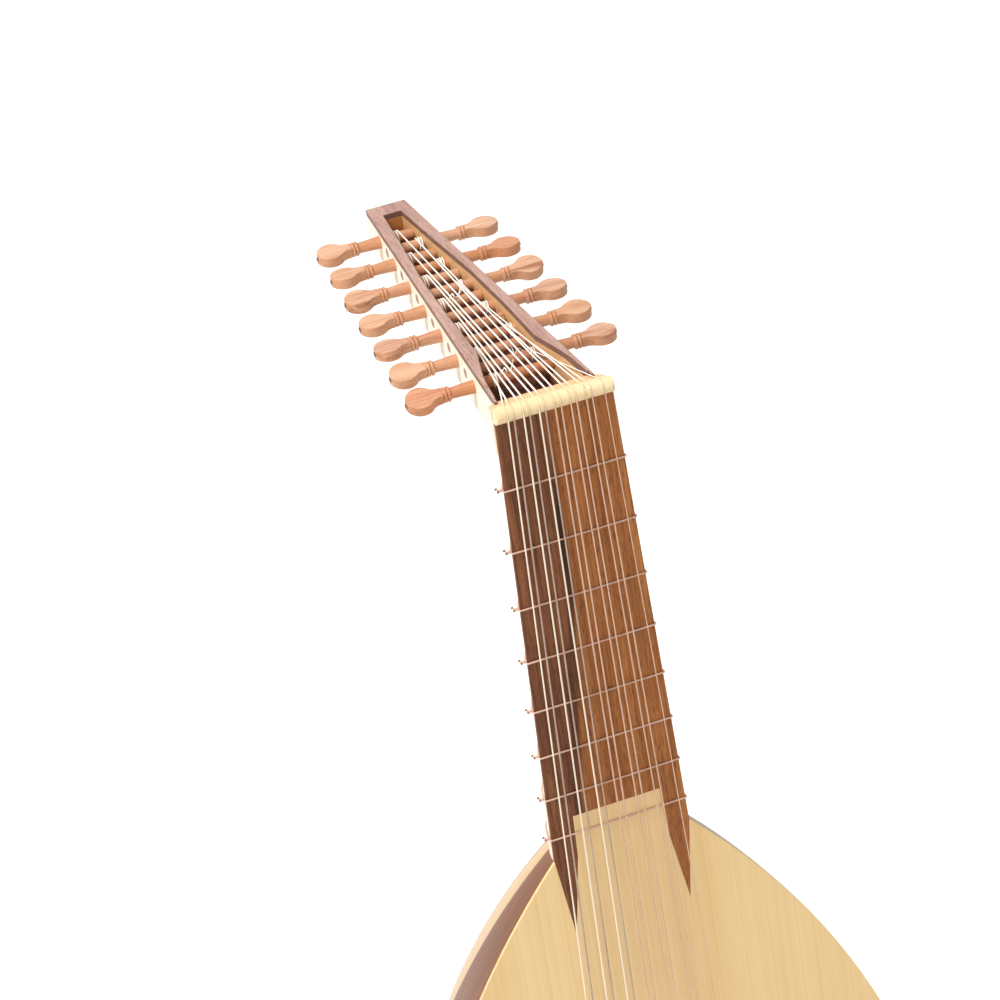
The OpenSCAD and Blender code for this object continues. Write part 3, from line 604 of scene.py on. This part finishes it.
def string_path(number):
    """Bridge tie, sounding length, turn over the nut, drop to the peg and turns round the peg."""
    radius = STRING_R[number] * MM
    index = STRING_PEG[number]
    peg = JOINT_AT[f"peg_{PEGS[index]}_turn"]
    side = peg_side(index)
    room = radius + 0.08 * MM
    x = string_x(number, BRIDGE_PITCH, BRIDGE_PAIR)
    top, low = BRIDGE_LOW.y - room, FACE - HOLE_H * MM
    front, back = BRIDGE_HIGH.z + room, BRIDGE_LOW.z - room
    height = FACE - STRING_H * MM
    tie = [Vector((x + 3.2 * radius, height + 0.5 * MM, front + 3.0 * radius)),
           Vector((x + 2.4 * radius, height - radius, front + 1.6 * radius)),
           Vector((x + 0.8 * radius, top, front - 1.4 * MM)),
           Vector((x, top, back)), Vector((x, low, back)), Vector((x, low, front)),
           Vector((x, height, front + 0.2 * MM))]
    nut_x = string_x(number, NUT_PITCH, NUT_PAIR)
    crest_y = FACE + (NUT_R - NUT_H) * MM
    crest_z = NUT_Z + NUT_RISE * MM
    tie.append(Vector((nut_x, crest_y - NUT_R * MM, crest_z)))
    path = rounded(tie, 0.55 * MM)
    wind_r = (WIND_IN + 0.03) * MM + radius
    dy, dz = peg.y - crest_y, peg.z - crest_z
    leave = math.pi / 2 - math.atan2(dz, dy) + math.asin((NUT_R * MM - wind_r) / math.hypot(dy, dz))
    path += [on_circle(nut_x, crest_y, crest_z, NUT_R * MM, leave * k / 8) for k in range(1, 9)]
    arrive = (WIND_X[index] - side * (WIND_LEN / 2 - 0.7)) * MM
    last = (WIND_X[index] + side * WIND_LEN / 2) * MM - side * radius
    pitch = 2 * radius + WIND_GAP * MM
    turns = abs(last - arrive) / pitch
    steps = int(turns * 16)
    for k in range(steps + 1):
        share = k / steps
        angle = leave + 2 * math.pi * turns * share
        path.append(on_circle(arrive + (last - arrive) * share, peg.y, peg.z, wind_r, angle))
    return path


def string_tail(number):
    """The loose end that curls up from its peg, inside the pegbox."""
    index = STRING_PEG[number]
    peg = JOINT_AT[f"peg_{PEGS[index]}_turn"]
    side = peg_side(index)
    start = Vector(((WIND_X[index] - side * 3.4) * MM, peg.y, peg.z + (MID_R - 0.3) * MM))
    turns, reach, steps = 1.35, 6.5 * MM, 28
    path = []
    for k in range(steps + 1):
        share = k / steps
        turn = 2 * math.pi * turns * share
        curl = (0.5 + 2.4 * share) * MM
        path.append(start + Vector((curl * math.sin(turn) * 0.5 - side * reach * share,
                                    curl * math.sin(turn), curl * (1 - math.cos(turn)) * 0.8)))
    return path


def build_string(bm, number):
    radius = STRING_R[number] * MM * STRING_SLIM
    loft(bm, tube(string_path(number), radius))
    if number in TAILED:
        loft(bm, tube(string_tail(number), radius * 0.9, sides=8))


def fret_z(number):
    return NUT_Z - SCALE_MM * MM * (1 - 2 ** (-number / 12))


def fret_loop(number):
    """Centre line of a fret: over the fingerboard, down its edges and round the neck's back."""
    z = fret_z(number)
    out = (FRET_GAP + FRET_T / 2) * MM
    hw, depth = neck_half_width(z) + out, neck_depth(z) + out
    corner = 0.7 * MM
    right, left = [], []
    for side, first, arc in ((1, 0, right), (-1, math.pi / 2, left)):
        centre = Vector((side * (hw - corner), FACE - out + corner, z))
        for k in range(6):
            t = first + math.pi / 2 * k / 5
            arc.append(centre + Vector((math.cos(t), -math.sin(t), 0)) * corner)
    back = [Vector((-hw * math.cos(t) * flank(z, t), AXIS_Y + depth * math.sin(t), z))
            for t in (math.pi * k / 48 for k in range(49))]
    return right + left + back


def knot_line(centre, size):
    """A small trefoil knot that lies against the edge of the neck."""
    points = []
    for k in range(48):
        t = 2 * math.pi * k / 48
        r = 2 + math.cos(3 * t)
        points.append(centre + Vector((math.sin(3 * t) * 0.8, math.cos(2 * t) * r * 0.5,
                                       math.sin(2 * t) * r * 0.42)) * size)
    return points


def build_fret(bm, number):
    radius = FRET_T / 2 * MM * 0.97
    loft(bm, tube(fret_loop(number), radius, up=Vector((0, 0, 1)), closed=True), closed=True)
    z = fret_z(number)
    edge = -neck_half_width(z) - (FRET_GAP + FRET_T) * MM
    knot = Vector((edge - 0.1 * MM, FACE + 2.2 * MM, z))
    loft(bm, tube(knot_line(knot, 0.4 * MM), 0.3 * MM, sides=8, up=Vector((1, 0, 0)), closed=True),
         closed=True)
    for way, lift in ((Vector((-1.9, 1.1, 0.7)), 0.2), (Vector((-0.8, 1.4, -1.2)), -0.4)):
        end = knot + way * MM
        bend = knot + Vector((way.x * 0.6, 0.1, lift)) * MM
        stub = [knot * (1 - t) ** 2 + bend * 2 * t * (1 - t) + end * t * t
                for t in (k / 6 for k in range(7))]
        loft(bm, tube(stub, 0.38 * MM, sides=8))
        tip = [end + (end - bend).normalized() * s * MM for s in (-0.4, -0.2, 0.15, 0.45, 0.62)]
        loft(bm, tube(tip, [r * MM for r in (0.42, 0.7, 0.75, 0.5, 0.12)], sides=10), material=1)


# ---------------------------------------------------------------- pegs

# Turned part outside the wall, in millimetres: (distance from the wall, radius).
TURNED = [(0.9, 3.2), (4.0, 3.07), (8.0, 2.89), (11.6, 2.72), (11.9, 2.95), (12.1, 3.4), (12.4, 3.68),
          (12.8, 3.8), (13.2, 3.68), (13.5, 3.35), (13.7, 2.95), (13.9, 3.3), (14.3, 3.68), (14.7, 3.8),
          (15.1, 3.66), (15.35, 3.3), (15.5, 3.05)]
HEAD_R, HEAD_HALF_T = 7.0, 2.65
HEAD_START, DISC_X = 15.7, 26.4
NECK_R, FLARE_R = 3.0, 6.0
FLARE_X = DISC_X - math.sqrt((HEAD_R + FLARE_R) ** 2 - (NECK_R + FLARE_R) ** 2)
TOUCH_X = DISC_X + (FLARE_X - DISC_X) * HEAD_R / (HEAD_R + FLARE_R)


def head_half_width(u):
    """Half width of the flat head: a waist that flares into a disc."""
    if u < TOUCH_X:
        return NECK_R + FLARE_R - math.sqrt(FLARE_R ** 2 - (u - FLARE_X) ** 2)
    return math.sqrt(max(0.0, HEAD_R ** 2 - (u - DISC_X) ** 2))


def slot_half_width(distance):
    for (a, low), (b, high) in zip(SLOT_LINE, SLOT_LINE[1:]):
        if distance <= b:
            return low + (high - low) * (distance - a) / (b - a)
    return SLOT_LINE[-1][1]


def build_peg(bm, index):
    name = f"peg_{PEGS[index]}"
    turned = bm.faces.layers.float.new("turned")
    low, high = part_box(name)
    side = peg_side(index)
    centre = JOINT_AT[f"{name}_turn"]
    wall = (-low.x if side < 0 else high.x) / MM - PEG_REACH
    inner = slot_half_width(PEG_FIRST + PEG_STEP * index) - 0.4
    turn = math.radians(BOX_TILT + PEG_TURN[index])
    across = Vector((0, math.cos(turn), math.sin(turn)))
    through = Vector((0, -math.sin(turn), math.cos(turn)))

    def ring(u, half_w, half_t, corner=0.5, share=0.0):
        start = centre + Vector((side * u * MM, 0, 0))
        return [start + across * a * MM + through * b * MM
                for a, b in slab(half_w, half_t, corner, share)]

    rings = []
    for u, r in ((-wall, TIP_R - 0.15), (-wall + 0.2, TIP_R), (-inner - 0.15, TIP_R), (-inner, MID_R),
                 (inner - 0.1, MID_R), (inner + 0.15, SHAFT_R)):
        rings.append(ring(u, r, r))
    for u, r in TURNED:
        rings.append(ring(wall + u, r, r))
    flare = [HEAD_START + (DISC_X - HEAD_START) * k / 26 for k in range(27)]
    disc = [DISC_X + HEAD_R * math.sin(math.radians(a))
            for a in (8, 16, 24, 32, 40, 47, 54, 60, 66, 72, 77, 82, 86)]
    for u in flare + disc:
        share = min(1.0, 0.75 + (u - HEAD_START) / 3.0)
        half_t = HEAD_HALF_T + 0.05 - 0.3 * max(0.0, (u - DISC_X) / HEAD_R) ** 2
        rings.append(ring(wall + u, head_half_width(u), half_t, 0.42, share))
    loft(bm, rings)
    # The turned mark carries painted shade: it is set on the round faces and left off the head's flat
    # faces.
    for face in bm.faces:
        face[turned] = 1.0
        if abs(face.calc_center_median().x - centre.x) > (wall + HEAD_START + 1) * MM:
            face.normal_update()
            face.smooth = abs(face.normal.dot(through)) < 0.97
            face[turned] = float(face.smooth)
        elif (face.calc_center_median().x - centre.x) * side < (0.1 - wall) * MM:
            face.material_index = 2
    pip = [(32.6, 1.3), (33.2, 1.4), (33.5, 1.3), (33.7, 1.0), (33.8, 0.3)]
    loft(bm, [ring(wall + u, r, r) for u, r in pip], material=1)


# ---------------------------------------------------------------- rose


def build_rose(bm):
    """Interlaced strands carved on the rose: rings and spokes that pass over and under."""
    centre_z = TAIL + ROSE_Z * MM
    radius = ROSE_R * MM
    ring_r = radius / 2
    half, lift, rest = 0.82 * MM, 0.28 * MM, 0.1 * MM
    up = Vector((0, -1, 0))

    def strand(x, z, wave):
        return Vector((x, FACE - rest - lift * (0.5 + 0.5 * wave), centre_z + z))

    centres = [(0.0, 0.0)] + [(ring_r * math.cos(a), ring_r * math.sin(a))
                              for a in (math.pi / 3 * k for k in range(6))]
    for number, (cx, cz) in enumerate(centres):
        path = [strand(cx + ring_r * math.cos(t), cz + ring_r * math.sin(t),
                       math.sin(6 * t + number % 2 * math.pi))
                for t in (2 * math.pi * k / 96 for k in range(96))]
        loft(bm, tube(path, half, sides=8, up=up, closed=True, flat=0.45), closed=True)
    for number in range(6):
        a = math.pi / 6 * number
        path = [strand(s * math.cos(a), s * math.sin(a), math.cos(2 * math.pi * s / ring_r))
                for s in (radius * (k / 30 - 1) for k in range(61))]
        loft(bm, tube(path, half, sides=8, up=up, flat=0.45))
    for border, size in ((radius + 1.2 * MM, 0.9 * MM), (radius + 4.2 * MM, 0.45 * MM)):
        path = [strand(border * math.cos(t), border * math.sin(t), 0.0)
                for t in (2 * math.pi * k / 120 for k in range(120))]
        loft(bm, tube(path, size, sides=8, up=up, closed=True, flat=0.5), closed=True)


# ---------------------------------------------------------------- materials of the pieces

spruce = wood("spruce_front", rgb(247, 219, 164), rgb(232, 190, 124), "Z", fibre=520, figure=22,
              straight=260, rough=0.5, depth=0.03 * MM)
spruce_bars = wood("spruce_bars", rgb(238, 206, 148), rgb(214, 170, 108), "X", fibre=520, straight=120)
blocks = wood("block_lime", rgb(228, 196, 146), rgb(204, 164, 110), "Z", fibre=500)
clasp = wood("walnut_clasp", rgb(122, 78, 52), rgb(74, 42, 28), "X", pores=0.5, rough=0.42)
bridge_wood = wood("walnut_bridge", rgb(132, 84, 52), rgb(86, 50, 32), "X", pores=0.5, rough=0.4)
ebony = wood("ebony_turned", rgb(66, 42, 34), rgb(30, 20, 18), "Z", pores=0.25, rough=0.3, coat=0.3)
# The third and fourth colours of each pegbox wood are painted shade inside the box.
maple = pegbox_wood("maple_pegbox", rgb(254, 242, 226), rgb(248, 226, 200), rgb(244, 196, 138),
                    rgb(96, 50, 32))
maple_end = pegbox_wood("maple_end", rgb(254, 242, 226), rgb(248, 226, 200), rgb(214, 146, 78),
                        rgb(130, 72, 38))
# The block's top colour is painted shade on its faces that look up.
maple_block = pegbox_wood("maple_block", rgb(254, 242, 226), rgb(248, 226, 200), rgb(244, 196, 138),
                          rgb(200, 140, 96), top=rgb(240, 200, 160))
maple_neck = wood("maple_neck", rgb(252, 238, 218), rgb(244, 218, 184), "Z", fibre=700, figure=40,
                  pores=0.06, rough=0.38, coat=0.2)
# The cap's pale tones are walnut with a painted sheen where it looks up; side is painted shade on its
# other faces.
capping = wood("walnut_capping", rgb(212, 174, 158), rgb(146, 106, 94), "Y", fibre=1100, figure=60,
               pores=0.6, rough=0.5, straight=16, depth=0.08 * MM, worn=0.1, side=rgb(112, 76, 64))
yew = wood("yew_rib", rgb(146, 92, 54), rgb(104, 60, 36), "X", "UV", figure=35, rough=0.32, coat=0.4)
pale_rib = wood("maple_rib", rgb(232, 196, 144), rgb(206, 162, 106), "X", "UV", figure=70, rough=0.32,
                coat=0.4)
fret_gut = gut("gut_fret", rgb(226, 192, 170), rgb(192, 152, 130), twist=1200)
burnt = gut("gut_burnt", rgb(206, 152, 70), rgb(122, 80, 34), rough=0.4)
bass = gut("string_bass", rgb(252, 240, 222), rgb(242, 224, 198), strung=True)
wound = gut("string_wound", rgb(204, 180, 160), rgb(160, 132, 114), rough=0.3, twist=1600, strung=True)
plain = gut("string_plain", rgb(228, 192, 166), rgb(200, 158, 130), rough=0.28, strung=True)
peg_pip = wood("peg_pip", rgb(128, 80, 46), rgb(78, 44, 28), "X", figure=300, rough=0.35)
end_grain = wood("peg_end_grain", rgb(176, 144, 118), rgb(132, 98, 76), "X", fibre=1500, figure=400)

# Peg wood, nut end first: pale and dark tone, and how much heartwood shows.
TAN, HONEY, RUSSET = rgb(230, 188, 156), rgb(236, 198, 168), rgb(226, 168, 130)
TAN_DARK, HONEY_DARK, RUSSET_DARK = rgb(188, 130, 88), rgb(188, 128, 90), rgb(168, 98, 64)
HEART = rgb(128, 70, 44)
PEG_WOOD = [(RUSSET, RUSSET_DARK, 0.3), (HONEY, RUSSET_DARK, 0.36), (TAN, TAN_DARK, 0.3),
            (TAN, TAN_DARK, 0.22), (HONEY, RUSSET_DARK, 0.46), (HONEY, RUSSET_DARK, 0.36),
            (TAN, TAN_DARK, 0.24), (HONEY, HONEY_DARK, 0.4), (HONEY, HONEY_DARK, 0.46),
            (RUSSET, HONEY_DARK, 0.3), (TAN, TAN_DARK, 0.26), (HONEY, HONEY_DARK, 0.3),
            (TAN, HONEY_DARK, 0.3)]

paint(["soundboard"], spruce)
paint(["bar_upper", "bar_lower"], spruce_bars)
paint(["neck_block", "tail_block"], blocks)
paint(["end_clasp"], clasp)
paint(["bridge"], bridge_wood)
paint(["fingerboard"], fingerboard_wood())
paint(["nut"], bone())
paint(["pegbox_side_left", "pegbox_side_right", "pegbox_back"], maple)
paint(["pegbox_block"], maple_block)
paint(["pegbox_end"], maple_end)
paint(["pegbox_cap"], capping)

piece("neck_shaped", "lute", [maple_neck], build_neck, ["neck"])
for n in range(1, RIB_COUNT + 1):
    finish = ("rib_yew", yew) if n % 2 else ("rib_maple", pale_rib)
    piece(f"rib_{n}_bent", "lute", [finish[1]], lambda bm, n=n: build_rib(bm, n), [f"rib_{n}"])
piece("strap_button_turned", "lute", [ebony], build_button, ["strap_button"])
piece("rose_carving", "lute", [spruce], build_rose, [])
for n in range(13):
    if n in (0, 2, 4):
        finish = ("bass_string", bass)
    elif n in (1, 3, 5):
        finish = ("wound_string", wound)
    else:
        finish = ("plain_string", plain)
    node = f"string_{n + 1:02d}"
    piece(f"{node}_strung", "lute", [finish[1]], lambda bm, n=n: build_string(bm, n), [node])
for n in range(1, FRET_COUNT + 1):
    piece(f"fret_{n}_tied", f"fret_{n}", [fret_gut, burnt], lambda bm, n=n: build_fret(bm, n),
          [f"fret_{n}"])
# turned is painted shade on the round faces of each peg.
for n, (peg, (pale, dark, heart)) in enumerate(zip(PEGS, PEG_WOOD)):
    material = wood(f"fruitwood_{peg}", pale, dark, "X", seed=n + 1, fibre=900, figure=150, straight=14,
                    pores=0.35, heart=(HEART, heart), rough=0.46, coat=0.08, worn=0.15,
                    turned=rgb(186, 114, 60))
    piece(f"peg_{peg}_turned", f"peg_{peg}", [material, peg_pip, end_grain],
          lambda bm, n=n: build_peg(bm, n), [f"peg_{peg}"])


# ---------------------------------------------------------------- studio


def make_floor():
    half = 8.0
    bm = bmesh.new()
    bmesh.ops.create_grid(bm, x_segments=8, y_segments=8, size=half)
    mesh = bpy.data.meshes.new("floor")
    bm.to_mesh(mesh)
    bm.free()
    mesh.materials.append(floor_paint())
    floor = bpy.data.objects.new("floor", mesh)
    floor.location.z = cad_bounds[0].z - 0.5 * MM
    bpy.context.scene.collection.objects.link(floor)


def make_world():
    """White studio surround. The camera sees it at full white, and it lights a little less."""
    world = bpy.data.worlds.new("studio")
    bpy.context.scene.world = world
    world.use_nodes = True
    tree = world.node_tree
    light = tree.nodes["Background"]
    light.inputs["Color"].default_value = (1.0, 0.99, 0.98, 1.0)
    light.inputs["Strength"].default_value = 0.61
    seen = tree.nodes.new("ShaderNodeBackground")
    seen.inputs["Color"].default_value = (1, 1, 1, 1)
    rays = tree.nodes.new("ShaderNodeLightPath")
    blend = tree.nodes.new("ShaderNodeMixShader")
    tree.links.new(rays.outputs["Is Camera Ray"], blend.inputs[0])
    tree.links.new(light.outputs[0], blend.inputs[1])
    tree.links.new(seen.outputs[0], blend.inputs[2])
    tree.links.new(blend.outputs[0], tree.nodes["World Output"].inputs["Surface"])


def make_light(name, place, aim, size, power):
    """A soft square light that looks from place to aim."""
    light = bpy.data.lights.new(name, "AREA")
    light.size = size
    light.energy = power
    obj = bpy.data.objects.new(name, light)
    obj.location = place
    obj.rotation_mode = "QUATERNION"
    obj.rotation_quaternion = (aim - place).to_track_quat("-Z", "Y")
    bpy.context.scene.collection.objects.link(obj)


def make_camera():
    """Looks down on the pegbox from the bass side in front, a little tilted."""
    azimuth, elevation, roll = math.radians(-15.287), math.radians(27.436), math.radians(-9.521)
    distance = 1.4726
    target = Vector((0, FACE, NUT_Z)) + Vector((-34.4, -8.2, -32.6)) * MM
    back = Vector((math.sin(azimuth) * math.cos(elevation), -math.cos(azimuth) * math.cos(elevation),
                   math.sin(elevation)))
    camera = bpy.data.cameras.new("camera")
    camera.lens = 118.07
    obj = bpy.data.objects.new("camera", camera)
    obj.location = target + back * distance
    obj.rotation_mode = "QUATERNION"
    obj.rotation_quaternion = (-back).to_track_quat("-Z", "Y") @ Quaternion((0, 0, 1), roll)
    bpy.context.scene.collection.objects.link(obj)
    bpy.context.scene.camera = obj


make_floor()
make_world()
AIM = Vector((0, 0, NUT_Z))
make_light("key", AIM + Vector((-1.1, -0.25, 1.8)), AIM, 0.8, 48)
make_light("fill", AIM + Vector((-1.8, -1.4, 0.2)), AIM, 1.4, 5)
make_camera()
bpy.context.scene.view_settings.view_transform = "Standard"
